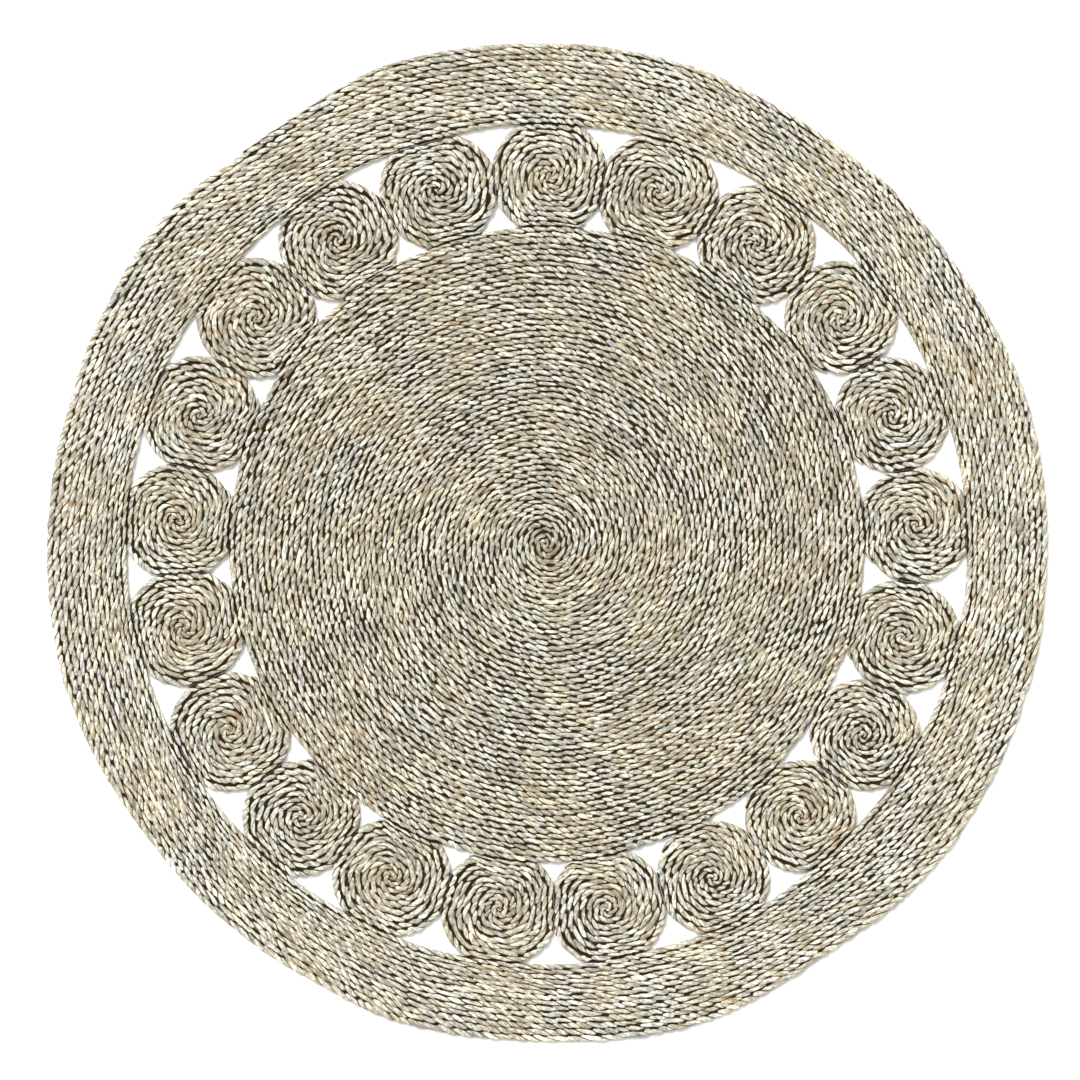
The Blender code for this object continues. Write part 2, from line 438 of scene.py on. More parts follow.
class Winding:
    """One flat spiral of cord, by its place in turns: where its middle and its two grooves run."""

    def __init__(self, part, rng):
        self.part = part
        self.places = np.arange(0.0, part["turns"] + 1 + TABLE_STEP / 2, TABLE_STEP)
        self.wander = None
        radius = (self.radius(self.places) + self.radius(self.places + 1)) / 2
        angle = self.angle(self.places)
        points = np.stack([radius * np.sin(angle), radius * np.cos(angle)], -1)
        steps = np.hypot(*np.diff(points, axis=0).T)
        self.lengths = np.concatenate([[0.0], np.cumsum(steps)])
        total = self.lengths[-1]
        self.wander = wavering(total, WANDER_SPACING, rng)
        self.lift = wavering(total, HEIGHT_SPACING, rng)
        rate = 1 + TWIST_UNEVENNESS * wavering(total, TWIST_SPACING, rng)(self.lengths)
        rate = rate * (1 + SLIP * wavering(total, SLIP_SPACING, rng)(self.lengths))
        if not part["has_hole"]:
            rate = rate * (1 + MIDDLE_TWIST * np.exp(-self.lengths / MIDDLE_TWIST_LENGTH))
        turned = np.diff(self.lengths) * rate[:-1] * math.tau / part["twist"]
        self.phases = np.concatenate([[0.0], np.cumsum(turned)])
        plies = int(self.phases[-1] / math.pi) + 4
        self.girth = rng.normal(0, 1, plies).clip(-PIP_LIMIT, PIP_LIMIT)
        self.shift = rng.normal(0, 1, plies).clip(-PIP_LIMIT, PIP_LIMIT)

    def angle(self, place):
        return self.part["start"] - place * math.tau

    def radius(self, place):
        """Distance of the groove spiral from the middle."""
        part = self.part
        angle = self.angle(place)
        fraction = groove_fraction(place, part["turns"], part["has_hole"])
        inner = part["inner"](angle)
        outer = part["outer"](angle)
        rounded = part["roundness"](fraction, outer)
        radius = inner + (rounded - inner) * fraction
        if not part["has_hole"]:
            squash = MIDDLE_SQUASH * np.exp(-place / MIDDLE_TURNS) * (1 - fraction) ** 2
            radius = radius * (1 + squash * np.cos(2 * angle + part["squashed_at"]))
        if self.wander is None:
            return radius
        at = np.interp(place, self.places, self.lengths)
        inside = np.clip(fraction * (1 - fraction) * part["turns"], 0, 1)
        middle_share = 0.0 if part["has_hole"] else np.exp(-place / MIDDLE_TURNS)
        return radius + WANDER * inside * (1 + MIDDLE_WANDER * middle_share) * self.wander(at)

    def middle(self, place):
        return (self.radius(place) + self.radius(place + 1)) / 2

    def half_width(self, place):
        return (self.radius(place + 1) - self.radius(place)) / 2

    def length(self, place):
        return np.interp(place, self.places, self.lengths)

    def phase(self, place):
        return np.interp(place, self.places, self.phases)

    def place_at_phase(self, phase):
        return np.interp(phase, self.phases, self.places)


# Meshes

class Skin:
    """Vertices, and faces by their corners. A corner has a vertex and its places in both texture maps."""

    def __init__(self):
        self.points = []
        self.side = []
        self.vertex_of = []
        self.cord_map = []
        self.bake_map = []
        self.faces = []
        self.vertex_count = 0
        self.corner_count = 0

    def add_vertices(self, points, side):
        points = np.asarray(points, float).reshape(-1, 3)
        self.points.append(points)
        self.side.append(np.broadcast_to(side, len(points)))
        first = self.vertex_count
        self.vertex_count += len(points)
        return np.arange(first, self.vertex_count)

    def add_corners(self, vertices, cord_map, bake_map):
        self.vertex_of.append(np.ravel(vertices))
        self.cord_map.append(np.reshape(cord_map, (-1, 2)))
        self.bake_map.append(np.reshape(bake_map, (-1, 2)))
        first = self.corner_count
        self.corner_count += np.size(vertices)
        return np.arange(first, self.corner_count).reshape(np.shape(vertices))

    def add_faces(self, faces):
        faces = np.asarray(faces)
        if len(faces):
            self.faces.append(faces)

    def stitch(self, low, low_at, high, high_at):
        """Triangles between two lines of corners, each with its places along the strip."""
        other = np.clip(np.searchsorted(high_at, low_at[1:], "left") - 1, 0, len(high) - 1)
        self.add_faces(np.stack([low[:-1], low[1:], high[other]], -1))
        other = np.clip(np.searchsorted(low_at, high_at[1:], "right") - 1, 0, len(low) - 1)
        self.add_faces(np.stack([low[other], high[1:], high[:-1]], -1))

    def mesh(self, name, waves):
        points = sway(np.concatenate(self.points), waves)
        vertex_of = np.concatenate(self.vertex_of)
        corners = np.concatenate([faces.ravel() for faces in self.faces])
        sizes = np.concatenate([np.full(len(faces), faces.shape[1]) for faces in self.faces])
        mesh = bpy.data.meshes.new(name)
        mesh.vertices.add(len(points))
        mesh.vertices.foreach_set("co", points.astype(np.float32).ravel())
        mesh.loops.add(len(corners))
        mesh.loops.foreach_set("vertex_index", vertex_of[corners].astype(np.int32))
        mesh.polygons.add(len(sizes))
        starts = np.concatenate([[0], np.cumsum(sizes)[:-1]])
        mesh.polygons.foreach_set("loop_start", starts.astype(np.int32))
        mesh.update(calc_edges=True)
        for map_name, rows in (("OFBake", self.bake_map), ("Cord", self.cord_map)):
            layer = mesh.uv_layers.new(name=map_name)
            places = np.concatenate(rows)[corners]
            layer.uv.foreach_set("vector", places.astype(np.float32).ravel())
        side = mesh.attributes.new("side", "FLOAT", "POINT")
        side.data.foreach_set("value", np.concatenate(self.side).astype(np.float32))
        mesh.polygons.foreach_set("use_smooth", np.ones(len(sizes), bool))
        mesh.update()
        return mesh


def sway(points, waves):
    """Moves points a little in plan, as a hand-sewn rug is uneven."""
    moved = points.copy()
    for across, along, phase, push in waves:
        wave = np.sin(points[:, 0] * across + points[:, 1] * along + phase)
        moved[:, 0] += wave * push[0]
        moved[:, 1] += wave * push[1]
    return moved


def sway_waves(rng):
    waves = []
    for _ in range(SWAY_WAVES):
        wave_length = rng.uniform(*SWAY_LENGTHS)
        turned = rng.uniform(0, math.tau)
        push = rng.normal(0, SWAY * (wave_length / SWAY_LENGTHS[0]) ** 0.5, 2)
        across = math.tau / wave_length * math.cos(turned)
        along = math.tau / wave_length * math.sin(turned)
        waves.append((across, along, rng.uniform(0, math.tau), push))
    return waves


def planned(winding, place, radius, height):
    """Points of the rug at a place along the winding, a radius from the winding's middle, and a height."""
    angle = winding.angle(place) + winding.part["turned"]
    middle = winding.part["middle"]
    east = middle[0] + radius * np.sin(angle)
    north = middle[1] + radius * np.cos(angle)
    return np.stack(np.broadcast_arrays(east, north, height), -1)


def bake_place(winding, place, radius, layout):
    """Where a point of the plan lies in the bake map, whose layout is (middle, scale)."""
    angle = winding.angle(place)
    (across, up), scale = layout
    return np.stack([across + scale * radius * np.sin(angle), up + scale * radius * np.cos(angle)], -1)


def bake_layouts(winding, first, last):
    """Layouts of the top and of the underside, which lies in the band's hole or a corner of the bake map."""
    around = np.linspace(0, 1, LAYOUT_STEPS + 1)
    outer = float(winding.radius(last + around).max())
    inner = float(winding.radius(first + around).min())
    with_wall = outer + 1.5 * BAKED_WALL
    if inner > WIDE_HOLE * outer:
        scale = BAKED_BAND / outer
        return ((0.5, 0.5), scale), ((0.5, 0.5), scale * (inner - BAKED_WALL) / with_wall)
    top_at = BAKED_MARGIN + BAKED_TOP
    under_at = 1 - BAKED_MARGIN - BAKED_UNDER
    return ((top_at, top_at), BAKED_TOP / outer), ((under_at, under_at), BAKED_UNDER / with_wall)


def outline_side(clear):
    """The side value of an outline: much painted shade where it is pressed on a coil, little where it faces
    a hole.
    """
    return PRESSED_SIDE + clear * (OUTLINE_SIDE - PRESSED_SIDE)


def foot(winding, first, last, grooves_at, open_middle):
    """How far the underside's grooves lie out of their line, and their side values: outlines stand back."""
    part = winding.part
    out = np.where(grooves_at >= last, -FOOT_INSET, 0.0)
    side = np.ones(len(grooves_at))
    if last > part["turns"]:
        clear = part["clear_outside"](winding.angle(grooves_at))
        out = out * (PRESSED_INSET + clear * (1 - PRESSED_INSET))
        side = np.where(grooves_at >= last, outline_side(clear), side)
    if open_middle:
        inwards = np.where(grooves_at <= first + 1, FOOT_INSET, 0.0)
        if first < 1:
            clear = part["clear_inside"](winding.angle(grooves_at))
            inwards = inwards * (PRESSED_INSET + clear * (1 - PRESSED_INSET))
            side = np.where(grooves_at <= first + 1, outline_side(clear), side)
        out = out + inwards
    return out, side


def seam_shade_weight(winding, first, last, place, bends):
    """How dark the painted shade on the cord's side gets: least where it faces a hole, and most where it is
    pressed on a coil.
    """
    part = winding.part
    weight = np.ones(np.shape(place))
    if not part["has_hole"]:
        weight = weight + MIDDLE_SEAM * np.exp(-place / MIDDLE_TURNS)
    if last > part["turns"]:
        if part["turns"] == COIL_TURNS:
            next_to_edge = (place > last - 2) & (bends * (last - 1 - place) > 0)
            weight = np.where(next_to_edge, EDGE_SEAM_SIDE, weight)
        clear = part["clear_outside"](winding.angle(place))
        outline = (place > last - 1) & (bends > 0)
        weight = np.where(outline, outline_side(clear), weight)
    if part["has_hole"] and first < 1:
        next_to_edge = (place < first + 2) & (bends * (first + 1 - place) > 0)
        weight = np.where(next_to_edge, EDGE_SEAM_SIDE, weight)
        clear = part["clear_inside"](winding.angle(place))
        outline = (place < first + 1) & (bends < 0)
        weight = np.where(outline, outline_side(clear), weight)
    return weight


def top_grid(winding, first, last):
    """The top's points: their places, their ply angles, and their bends from the crown to either side."""
    start_phase = float(winding.phase(first))
    end_phase = float(winding.phase(last))
    count = max(MIN_COLUMNS, round((end_phase - start_phase) / math.tau * COLUMNS_PER_TWIST))
    columns = np.linspace(start_phase, end_phase, count + 1)
    from_end = np.minimum(np.arange(count + 1), count - np.arange(count + 1))
    shear = smooth_step(from_end / UNSHEARED_COLUMNS)[:, None]
    bends = np.linspace(-math.pi / 2, math.pi / 2, ACROSS)[None, :]
    phase = columns[:, None] + shear * bends
    place = np.clip(winding.place_at_phase(phase), first, last)
    return place, phase - bends, bends


def top_form(winding, place, ply, bends):
    """How far the two plies' surface is to the side of the cord's middle, and how high it is."""
    swing = PLY_OFFSET * np.sin(ply)
    reach = PLY_OFFSET * np.abs(np.cos(ply)) + np.sqrt(PLY_RADIUS**2 - swing**2)
    pip = np.clip(np.floor(ply / math.pi + 0.5).astype(int), 0, len(winding.girth) - 1)
    reach = reach * (1 + PLY_UNEVENNESS * winding.girth[pip] * np.cos(ply) ** 2)
    half_width = winding.half_width(place)
    room = np.maximum(half_width - SEAM, 0.0)
    swell = np.clip(half_width / HALF_CORD, *SWELL_RANGE)
    thinned = np.minimum(swell, 1.0)
    shift = PLY_SHIFT * winding.shift[pip] * np.cos(ply) ** 2 * np.cos(bends)
    lateral = np.clip(reach * swell * np.sin(bends) + shift * thinned, -room, room)
    contact = CONTACT_RISE * np.cos(ply) ** 2 * (1 - np.cos(bends))
    rise = (reach * np.cos(bends) + contact) * thinned
    lift = HEIGHT_UNEVENNESS * winding.lift(winding.length(place)) * np.cos(bends)
    return lateral, AXIS_HEIGHT + rise + lift * thinned


def add_top(skin, winding, first, last, layout):
    """The twisted cord's upper half, turn beside turn, with the grooves between the turns."""
    place, ply, bends = top_grid(winding, first, last)
    lateral, height = top_form(winding, place, ply, bends)
    # Side values, by which the material paints shade towards the seams between turns
    side = np.abs(bends) / (math.pi / 2) * seam_shade_weight(winding, first, last, place, bends)
    radius = np.maximum(winding.middle(place) + lateral, SEAM)
    points = planned(winding, place, radius, height)
    vertices = skin.add_vertices(points, side.ravel()).reshape(place.shape)
    cord_map = np.stack([winding.length(place), winding.part["first_pip"] + ply / math.pi], -1)
    spread = bends / (math.pi / 2) * winding.half_width(place) * BAKED_SHARE
    bake_map = bake_place(winding, place, np.maximum(winding.middle(place) + spread, SEAM), layout)
    corners = skin.add_corners(vertices, cord_map, bake_map)
    quads = np.stack([corners[:-1, :-1], corners[:-1, 1:], corners[1:, 1:], corners[1:, :-1]], -1)
    skin.add_faces(quads.reshape(-1, 4))
    return join_turns(skin, first, last, place, vertices, corners, cord_map)


def join_turns(skin, first, last, place, vertices, corners, cord_map):
    """Joins each turn's top to the next one, and returns the top's inner and outer outline."""
    inner_at = place[:, 0]
    outer_at = place[:, -1] + 1
    first_inner = np.searchsorted(inner_at, outer_at[0], "right") - 1
    last_outer = np.searchsorted(outer_at, inner_at[-1], "right") - 1
    low = corners[first_inner:, 0]
    high = corners[: last_outer + 1, -1]
    skin.stitch(low, inner_at[first_inner:], high, outer_at[: last_outer + 1])
    ends = np.linspace(0, 1, ACROSS)
    inner_loop_at = np.concatenate([inner_at[: first_inner + 1], first + 1 + ends])
    outer_loop_at = np.concatenate([outer_at[last_outer:], last + 1 + ends[1:], [last + 2 + ends[1]]])

    def inner_loop(rows):
        return np.concatenate([rows[: first_inner + 1, 0], rows[0, ::-1]])

    def outer_loop(rows):
        return np.concatenate([rows[last_outer:, -1], rows[-1, -2::-1], rows[last_outer, -1:]])

    inner = (inner_loop(vertices), inner_loop_at, inner_loop(cord_map))
    outer = (outer_loop(vertices), outer_loop_at, outer_loop(cord_map))
    return inner, outer


def under_places(winding, first, last):
    """Places of the underside's ribs, and of its grooves, which go on for a turn more."""
    pace = winding.lengths / RIB_STEP + START_RIBS * (1 - np.exp(-winding.places))
    low, high = np.interp([first, last], winding.places, pace)
    count = max(MIN_RIBS, round(high - low))
    ribs_at = np.interp(np.linspace(low, high, count + 1), pace, winding.places)
    ribs_at[0] = first
    ribs_at[-1] = last
    steps = max(MIN_COLUMNS, int(np.sum(ribs_at > last - 1)))
    tail = np.linspace(last, last + 1, steps)
    return ribs_at, np.concatenate([ribs_at[:-1], tail])


def add_under(skin, winding, first, last, layout, open_middle):
    """The underside: a rib and a groove for each turn. Returns its inner and outer outline."""
    ribs_at, grooves_at = under_places(winding, first, last)
    groove_radius = np.maximum(winding.radius(grooves_at), SEAM)
    out, groove_side = foot(winding, first, last, grooves_at, open_middle)
    groove_points = planned(winding, grooves_at, np.maximum(groove_radius + out, SEAM), UNDER_GROOVE)
    grooves = skin.add_vertices(groove_points, groove_side)
    rib_radius = np.maximum(winding.middle(ribs_at), 2 * SEAM)
    ribs = skin.add_vertices(planned(winding, ribs_at, rib_radius, 0.0), RIB_SIDE)

    def corner_row(vertices, at, radius, cord_at, bend):
        ply = (winding.phase(cord_at) - bend) / math.pi + winding.part["first_pip"]
        cord_map = np.stack([winding.length(cord_at), ply], -1)
        return skin.add_corners(vertices, cord_map, bake_place(winding, at, radius, layout))

    rib_row = corner_row(ribs, ribs_at, rib_radius, ribs_at, math.pi)
    as_inner = corner_row(grooves, grooves_at, groove_radius, grooves_at, 1.5 * math.pi)
    as_outer = corner_row(grooves, grooves_at, groove_radius, grooves_at - 1, 0.5 * math.pi)
    last_inner = np.searchsorted(grooves_at, last, "left")
    first_outer = np.searchsorted(grooves_at, first + 1, "right") - 1
    skin.stitch(as_inner[: last_inner + 1], grooves_at[: last_inner + 1], rib_row, ribs_at)
    skin.stitch(rib_row, ribs_at + 1, as_outer[first_outer:], grooves_at[first_outer:])
    inner_loop = np.concatenate([grooves[: first_outer + 1], ribs[:1], grooves[:1]])
    inner_loop_at = np.concatenate([grooves_at[: first_outer + 1], [first + 1.5, first + 2]])
    outer_loop = np.concatenate([grooves[last_inner:], ribs[-1:], grooves[last_inner : last_inner + 1]])
    outer_loop_at = np.concatenate([grooves_at[last_inner:], [last + 1.5, last + 2]])
    return (inner_loop, inner_loop_at), (outer_loop, outer_loop_at)


def wall_row(skin, winding, loop, at, start, cord_map, layout, push):
    """Corners of one edge of a wall. In the bake map they lie a little way out from the underside."""
    turned = np.minimum(at, start + 1)
    radius = winding.radius(turned)
    end = np.clip(at - start - 1, 0, 1)
    radius = radius - end * (winding.radius(start + 1) - winding.radius(start))
    past = np.where(end > 0, push / np.maximum(radius, LEAST_RADIUS) / math.tau, 0.0)
    radius = radius + np.where(end > 0, 0.0, push)
    bake_map = bake_place(winding, turned + past, np.maximum(radius, SEAM), layout)
    return skin.add_corners(loop, cord_map, bake_map)


def add_wall(skin, winding, upper, lower, start, layout, outer):
    """The side between the top's and the underside's loop, with the cord's end."""
    upper_loop, upper_at, upper_map = upper
    lower_loop, lower_at = lower
    push = BAKED_WALL if outer else -BAKED_WALL
    lower_push = BAKED_WALL_FOOT * push
    lower_map = np.stack([np.interp(lower_at, upper_at, upper_map[:, column]) for column in (0, 1)], -1)
    lower_map[:, 1] += WALL_PIPS
    upper_row = wall_row(skin, winding, upper_loop, upper_at, start, upper_map, layout, push)
    lower_row = wall_row(skin, winding, lower_loop, lower_at, start, lower_map, layout, lower_push)
    if outer:
        skin.stitch(lower_row, lower_at, upper_row, upper_at)
    else:
        skin.stitch(upper_row, upper_at, lower_row, lower_at)


def close_middle(skin, winding, loop, at, height, layout, over):
    """A small cap over the innermost turn, above or below."""
    hub = np.zeros(1)
    first_pip = winding.part["first_pip"]
    middle = skin.add_vertices(planned(winding, hub, hub, height), CAP_SIDE)
    centre_map = np.full((1, 2), float(first_pip))
    centre = skin.add_corners(middle, centre_map, bake_place(winding, hub, hub, layout))
    around = at - np.floor(at)
    edge_map = np.stack([winding.length(at), np.full(len(at), first_pip)], -1)
    edge_bake = bake_place(winding, around, np.full(len(at), CAP_RADIUS), layout)
    edge = skin.add_corners(loop, edge_map, edge_bake)
    hub_row = np.full(len(edge) - 1, centre[0])
    pair = (edge[:-1], edge[1:]) if over else (edge[1:], edge[:-1])
    skin.add_faces(np.stack([hub_row, *pair], -1))


def wound_piece(name, winding, first, last, waves, node, material):
    """A visible piece: the winding from one place to another, as a closed form that lies on the floor."""
    open_middle = winding.part["has_hole"] or first >= 1
    skin = Skin()
    layouts = bake_layouts(winding, first, last)
    inner_top, outer_top = add_top(skin, winding, first, last, layouts[0])
    inner_under, outer_under = add_under(skin, winding, first, last, layouts[1], open_middle)
    add_wall(skin, winding, outer_top, outer_under, last, layouts[1], True)
    if open_middle:
        add_wall(skin, winding, inner_top, inner_under, first, layouts[1], False)
    else:
        close_middle(skin, winding, *inner_top[:2], AXIS_HEIGHT, layouts[0], True)
        close_middle(skin, winding, *inner_under, UNDER_GROOVE, layouts[1], False)
    mesh = skin.mesh(name, waves)
    mesh.materials.append(material)
    piece = bpy.data.objects.new(name, mesh)
    bpy.context.collection.objects.link(piece)
    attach(piece, "root")
    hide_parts(node)
    declare_flat(winding, first, last, open_middle)


def declare_flat(winding, first, last, open_middle):
    """The plan area of the piece, less its hole where the middle is open; it is worked out here and not
    kept.
    """
    around = np.linspace(0, 1, AREA_STEPS + 1)[:-1]
    outer = winding.radius(last + around)
    plan = math.pi * float(np.mean(outer**2))
    if open_middle:
        inner = winding.radius(first + around)
        plan -= math.pi * float(np.mean(inner**2))
        return


# Materials

class Nodes:
    """Short ways to add and link shader nodes."""

    def __init__(self, material):
        material.use_nodes = True
        self.tree = material.node_tree
        self.shader = self.tree.nodes["Principled BSDF"]

    def add(self, kind, **settings):
        node = self.tree.nodes.new("ShaderNode" + kind)
        for key, value in settings.items():
            setattr(node, key, value)
        return node

    def feed(self, socket, value):
        if isinstance(value, bpy.types.NodeSocket):
            self.tree.links.new(value, socket)
        else:
            socket.default_value = value

    def math(self, operation, *values):
        node = self.add("Math", operation=operation)
        for socket, value in zip(node.inputs, values):
            self.feed(socket, value)
        return node.outputs[0]

    def ranged(self, value, from_low, from_high, to_low, to_high, smooth=False):
        node = self.add("MapRange", interpolation_type="SMOOTHSTEP" if smooth else "LINEAR")
        for socket, given in zip(node.inputs, (value, from_low, from_high, to_low, to_high)):
            self.feed(socket, given)
        return node.outputs[0]

    def mixed(self, factor, first, second, blend="MIX"):
        node = self.add("Mix", data_type="RGBA", blend_type=blend)
        self.feed(node.inputs[0], factor)
        self.feed(node.inputs[6], first)
        self.feed(node.inputs[7], second)
        return node.outputs[2]

    def ramp(self, value, stops):
        node = self.add("ValToRGB")
        elements = node.color_ramp.elements
        while len(elements) < len(stops):
            elements.new(0.5)
        for element, (position, colour) in zip(elements, stops):
            element.position = position
            element.color = (*colour, 1.0)
        self.feed(node.inputs[0], value)
        return node.outputs[0]

    def noise(self, dimensions, place, scale, detail, roughness=0.5):
        node = self.add("TexNoise", noise_dimensions=dimensions)
        self.feed(node.inputs["W" if dimensions == "1D" else "Vector"], place)
        node.inputs["Scale"].default_value = scale
        node.inputs["Detail"].default_value = detail
        node.inputs["Roughness"].default_value = roughness
        return node.outputs["Fac"]

    def drawn(self, value):
        """A random value from 0 to 1 for each given value."""
        node = self.add("TexWhiteNoise", noise_dimensions="1D")
        self.feed(node.inputs["W"], value)
        return node.outputs["Value"]


def cord_places(nodes):
    """Way along the cord, way across its pips, the pip's number, and the distance from the pip's middle."""
    split = nodes.add("SeparateXYZ")
    nodes.feed(split.inputs[0], nodes.add("UVMap", uv_map="Cord").outputs[0])
    along, ply = split.outputs[0], split.outputs[1]
    shifted = nodes.math("ADD", ply, 0.5)
    pip = nodes.math("FLOOR", shifted)
    off_middle = nodes.math("ABSOLUTE", nodes.math("SUBTRACT", nodes.math("SUBTRACT", shifted, pip), 0.5))
    return along, ply, pip, off_middle


def cord_fibres(nodes, along, ply):
    """Noise that is drawn out along the cord."""
    fibre_place = nodes.add("CombineXYZ")
    nodes.feed(fibre_place.inputs[0], nodes.math("MULTIPLY", ply, FIBRES_PER_PIP))
    nodes.feed(fibre_place.inputs[1], nodes.math("MULTIPLY", along, FIBRES_PER_METRE))
    return nodes.noise("2D", fibre_place.outputs[0], 1.0, FIBRE_DETAIL, FIBRE_ROUGHNESS)


def cord_light(nodes, along, pip, fibres, place, brightness):
    """How light the cord is: by the pip, the stretch of cord, the fibre and the fleck."""
    shade = nodes.ranged(nodes.drawn(nodes.math("ADD", pip, SHADE_DRAW)), 0.0, 1.0, *PIP_SHADES)
    slow_shade = nodes.ranged(nodes.noise("1D", along, SLOW_SCALE, detail=2.0), *NOISE_RANGE, *SLOW_SHADES)
    fibre_shade = nodes.ranged(fibres, *FIBRE_RANGE, *FIBRE_SHADES)
    flecks = nodes.noise("3D", place, FLECK_SCALE, detail=1.0)
    fleck_shade = nodes.ranged(flecks, *NOISE_RANGE, *FLECK_SHADES)
    light = nodes.math("MULTIPLY", nodes.math("MULTIPLY", shade, slow_shade), fibre_shade)
    light = nodes.math("MULTIPLY", nodes.math("MULTIPLY", light, fleck_shade), brightness)
    grey = nodes.add("CombineColor")
    for socket in grey.inputs[:3]:
        nodes.feed(socket, light)
    return grey.outputs[0]


def cord_painted_shade(nodes, ply, off_middle, patches, warmth, seams):
    """Painted shade, from 0 to 1, in the seams between turns and in the creases between pips."""
    spread = nodes.ranged(patches, *NOISE_RANGE, seams - 0.5 * SIDE_SPREAD, seams + 0.5 * SIDE_SPREAD)
    spread = nodes.math("ADD", spread, nodes.ranged(warmth, 0.0, 1.0, *REGION_SEAMS))
    side = nodes.add("Attribute", attribute_name="side").outputs["Fac"]
    drawn = nodes.drawn(nodes.math("ADD", nodes.math("FLOOR", ply), CREASE_DRAW))
    bite = nodes.math("MULTIPLY", nodes.math("POWER", off_middle, 2.0), 4 * SIDE_BITE)
    bite = nodes.math("MULTIPLY", bite, nodes.ranged(drawn, 0.0, 1.0, *BITE_STRENGTHS))
    seam = nodes.math("ADD", nodes.math("ADD", side, bite), spread)
    seam = nodes.ranged(seam, *SIDE_RANGE, 0.0, 1.0, smooth=True)
    crease = nodes.ranged(off_middle, *CREASE_RANGE, 0.0, 1.0, smooth=True)
    crease = nodes.math("MULTIPLY", crease, nodes.ranged(side, *CREASE_SIDES, *CREASE_DARKNESS))
    strength = nodes.ranged(drawn, 0.0, 1.0, *CREASE_STRENGTHS)
    crease = nodes.math("MINIMUM", nodes.math("MULTIPLY", crease, strength), 1.0)
    return nodes.math("MAXIMUM", seam, crease)


def stained(nodes, lit, along, place, patches, warmth, mottling):
    """The cord's colour with brown stains, and with mottling on its first stretch."""
    stains = nodes.noise("3D", place, STAIN_SCALE, detail=1.0)
    share = nodes.ranged(stains, *STAIN_RANGE, 0.0, STAIN_STRENGTH)
    share = nodes.math("MULTIPLY", share, nodes.ranged(warmth, 0.0, 1.0, *STAIN_REGIONS))
    lit = nodes.mixed(share, lit, (*STAIN_COLOUR, 1.0))
    young = nodes.ranged(along, MOTTLED_FULL * MOTTLED_LENGTH, MOTTLED_LENGTH, mottling, 0.0)
    young = nodes.math("MULTIPLY", young, nodes.ranged(patches, *MOTTLED_RANGE, 0.0, 1.0))
    return nodes.mixed(young, lit, (*MOTTLED_COLOUR, 1.0))


def cord_surface(nodes, fibres):
    """A matt surface with a little sheen, and bumps along the fibres."""
    shader = nodes.shader
    nodes.feed(shader.inputs["Roughness"], nodes.ranged(fibres, *NOISE_RANGE, *ROUGHNESS))
    shader.inputs["Sheen Weight"].default_value = SHEEN
    shader.inputs["Sheen Roughness"].default_value = SHEEN_ROUGHNESS
    shader.inputs["Specular IOR Level"].default_value = SPECULAR
    bump = nodes.add("Bump")
    bump.inputs["Strength"].default_value = BUMP_STRENGTH
    bump.inputs["Distance"].default_value = BUMP_DISTANCE
    nodes.feed(bump.inputs["Height"], fibres)
    nodes.feed(shader.inputs["Normal"], bump.outputs[0])


def cord_material(name, brightness, seams, mottling):
    """Dried grass cord: each pip has its own tint, with fibres along it, and painted shade in the seams and
    creases.
    """
    material = bpy.data.materials.new(name)
    nodes = Nodes(material)
    along, ply, pip, off_middle = cord_places(nodes)
    fibres = cord_fibres(nodes, along, ply)
    place = nodes.add("TexCoord").outputs["Object"]
    patches = nodes.noise("3D", place, PATCH_SCALE, detail=1.0)
    regions = nodes.noise("3D", place, REGION_SCALE, detail=2.0)
    warmth = nodes.ranged(regions, *REGION_RANGE, 0.0, 1.0)
    tint = nodes.ramp(nodes.drawn(pip), TINTS)
    grey = cord_light(nodes, along, pip, fibres, place, brightness)
    lit = nodes.mixed(1.0, tint, grey, "MULTIPLY")
    region_tint = nodes.mixed(warmth, (*COOL_COLOUR, 1.0), (*WARM_COLOUR, 1.0))
    lit = nodes.mixed(1.0, lit, region_tint, "MULTIPLY")
    lit = stained(nodes, lit, along, place, patches, warmth, mottling)
    # Painted shade in the seams and creases: brown at its edges, near black inside
    painted_shade = cord_painted_shade(nodes, ply, off_middle, patches, warmth, seams)
    shade_edged = nodes.mixed(nodes.ranged(painted_shade, *SHADE_EDGE_RANGE, 0.0, 1.0), lit, (*SHADE_EDGE_COLOUR, 1.0))
    colour = nodes.mixed(nodes.ranged(painted_shade, *PAINTED_SHADE_RANGE, 0.0, 1.0), shade_edged, (*PAINTED_SHADE_COLOUR, 1.0))
    nodes.feed(nodes.shader.inputs["Base Color"], colour)
    cord_surface(nodes, fibres)
    return material


# Floor, light and camera

def add_floor():
    mesh = bpy.data.meshes.new("floor")
    half = FLOOR_HALF
    corners = [(-half, -half, 0), (half, -half, 0), (half, half, 0), (-half, half, 0)]
    mesh.from_pydata(corners, [], [(0, 1, 2, 3)])
    floor = bpy.data.objects.new("floor", mesh)
    floor.location.z = -FLOOR_DROP
    bpy.context.collection.objects.link(floor)
    material = bpy.data.materials.new("floor_paint")
    material.use_nodes = True
    shader = material.node_tree.nodes["Principled BSDF"]
    shader.inputs["Base Color"].default_value = FLOOR_COLOUR
    shader.inputs["Roughness"].default_value = FLOOR_ROUGHNESS
    mesh.materials.append(material)


def add_lights():
    world = bpy.data.worlds.new("studio")
    world.use_nodes = True
    world.node_tree.nodes["Background"].inputs[0].default_value = (1.0, 1.0, 1.0, 1.0)
    world.node_tree.nodes["Background"].inputs[1].default_value = WORLD_LIGHT
    bpy.context.scene.world = world
    data = bpy.data.lights.new("key", "SUN")
    data.energy = KEY_LIGHT
    data.angle = math.radians(KEY_SPREAD_DEG)
    data.color = KEY_COLOUR
    key = bpy.data.objects.new("key", data)
    key.rotation_euler = (math.radians(90 - KEY_ELEVATION_DEG), 0.0, math.radians(180 - KEY_FROM_DEG))
    bpy.context.collection.objects.link(key)


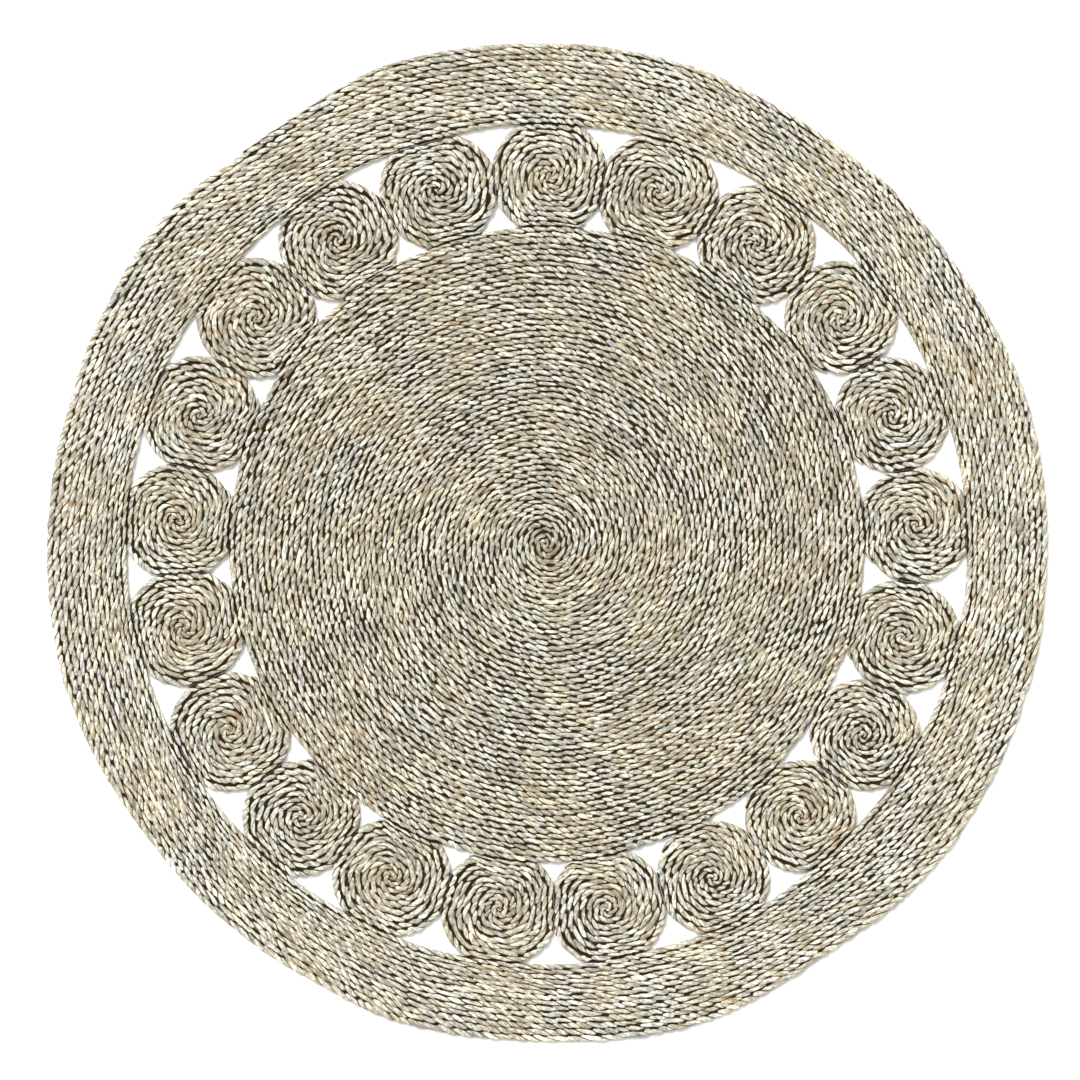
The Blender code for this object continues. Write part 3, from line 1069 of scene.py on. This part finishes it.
def add_camera():
    data = bpy.data.cameras.new("camera")
    data.sensor_fit = "HORIZONTAL"
    data.sensor_width = SENSOR_WIDTH
    data.lens = SENSOR_WIDTH * CAMERA_HEIGHT / VIEW_WIDTH
    data.clip_end = CLIP_END
    camera = bpy.data.objects.new("camera", data)
    camera.location = (*CAMERA_PLACE, CAMERA_HEIGHT + RUG_HEIGHT)
    bpy.context.collection.objects.link(camera)
    bpy.context.scene.camera = camera


# The parts

def disc_part(hub):
    return {
        "turns": DISC_TURNS,
        "has_hole": False,
        "start": 0.0,
        "turned": 0.0,
        "middle": hub,
        "first_pip": 0,
        "twist": DISC_TWIST,
        "squashed_at": DISC_SQUASHED_AT,
        "inner": lambda angle: 0.0 * angle,
        "outer": lambda angle: DISC_RADIUS + 0.0 * angle,
        "roundness": lambda fraction, outer: outer,
        "clear_outside": lambda angle: clear_of_coils(angle, DISC_CONTACT),
    }


def border_part(hub):
    return {
        "turns": BORDER_TURNS,
        "has_hole": True,
        "start": 0.0,
        "turned": 0.0,
        "middle": hub,
        "first_pip": BORDER_FIRST_PIP,
        "twist": BORDER_TWIST,
        "inner": lambda angle: BORDER_INNER_RADIUS + 0.0 * angle,
        "outer": rim_radius,
        "roundness": lambda fraction, outer: outer,
        "clear_outside": lambda angle: 1.0 + 0.0 * angle,
        "clear_inside": lambda angle: clear_of_coils(angle, BORDER_CONTACT),
    }


def coil_part(hub, index):
    row = COILS[index]
    return {
        "turns": COIL_TURNS,
        "has_hole": False,
        "start": math.pi,
        "turned": math.radians(row[0]),
        "middle": hub + coil_place(row),
        "first_pip": COIL_FIRST_PIP + PIPS_PER_COIL * index,
        "twist": COIL_TWIST,
        "squashed_at": COIL_SQUASHED_STEP * index,
        "inner": lambda angle: 0.0 * angle,
        "outer": lambda angle: coil_reach(index, angle),
        "roundness": lambda fraction, outer: outer * fraction + row[2] * (1 - fraction),
        "clear_outside": lambda angle: coil_clear(index, angle),
    }


def add_disc(hub, rng, waves):
    cord = cord_material("disc_cord_look", DISC_BRIGHTNESS, DISC_SEAMS, DISC_MOTTLING)
    winding = Winding(disc_part(hub), rng)
    end = DISC_TURNS + TAIL
    wound_piece("disc_middle", winding, HEAD, DISC_CUT, waves, "centre_disc", cord)
    wound_piece("disc_edge", winding, DISC_CUT, end, waves, "centre_disc", cord)


def add_border(hub, rng, waves):
    cord = cord_material("border_cord_look", BORDER_BRIGHTNESS, BORDER_SEAMS, 0.0)
    winding = Winding(border_part(hub), rng)
    end = BORDER_TURNS + TAIL
    wound_piece("border_inside", winding, BORDER_HEAD, BORDER_CUT, waves, "border", cord)
    wound_piece("border_outside", winding, BORDER_CUT, end, waves, "border", cord)


def add_coils(hub, rng, waves):
    cord = cord_material("coil_cord_look", COIL_BRIGHTNESS, COIL_SEAMS, COIL_MOTTLING)
    end = COIL_TURNS + TAIL
    for index in range(len(COILS)):
        winding = Winding(coil_part(hub, index), rng)
        node = f"coil_{index + 1:02d}"
        wound_piece(f"{node}_cord", winding, HEAD, end, waves, node, cord)


def main():
    low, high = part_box("centre_disc")
    hub = np.array([(low.x + high.x) / 2, (low.y + high.y) / 2])
    rng = np.random.default_rng(SEED)
    waves = sway_waves(rng)
    add_disc(hub, rng, waves)
    add_border(hub, rng, waves)
    add_coils(hub, rng, waves)
    add_floor()
    add_lights()
    add_camera()
    bpy.context.scene.view_settings.view_transform = "Standard"
    bpy.context.scene.view_settings.look = "None"


main()
